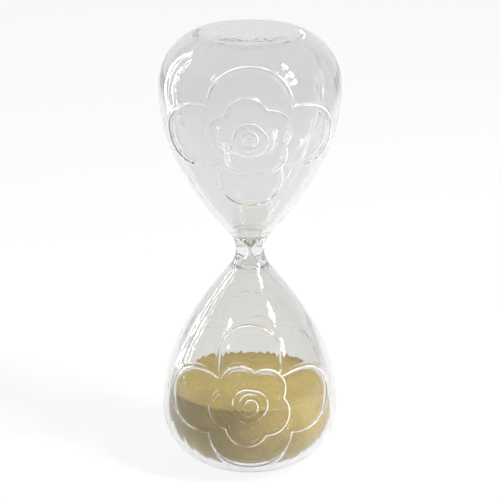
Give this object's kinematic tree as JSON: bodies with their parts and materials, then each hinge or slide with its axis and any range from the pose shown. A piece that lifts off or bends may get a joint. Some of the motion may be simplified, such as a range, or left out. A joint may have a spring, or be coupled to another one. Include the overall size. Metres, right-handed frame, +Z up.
{
  "type": "hourglass",
  "caption": "Frameless blown-glass sand timer: two sealed bulbs with a raised flower front and back, fused to a thick throat, with sand inside.",
  "frame": {"origin": "centre of the flat end that the hourglass stands on", "axes": "+Z up through the neck, the glass's axis; the moulded flowers face -Y (front) and +Y (back)"},
  "size_m": [0.0884, 0.0916, 0.22],
  "materials": {
    "glass": "clear soda-lime glass, mould-blown, fire-polished",
    "sand": "fine beige quartz sand, matt"
  },
  "bodies": {
    "glass": {"upper_bulb": "glass", "lower_bulb": "glass", "neck_throat": "glass", "fill_seal": "glass", "sand_heap": "sand", "throat_sand": "sand"},
    "loose_grains": {"falling_grains": "sand"}
  },
  "joints": [
    {"name": "grain_fall", "type": "slide", "parent": "glass", "child": "loose_grains", "axis": [0, 0, -1], "range_m": [0, 0.069]}
  ]
}
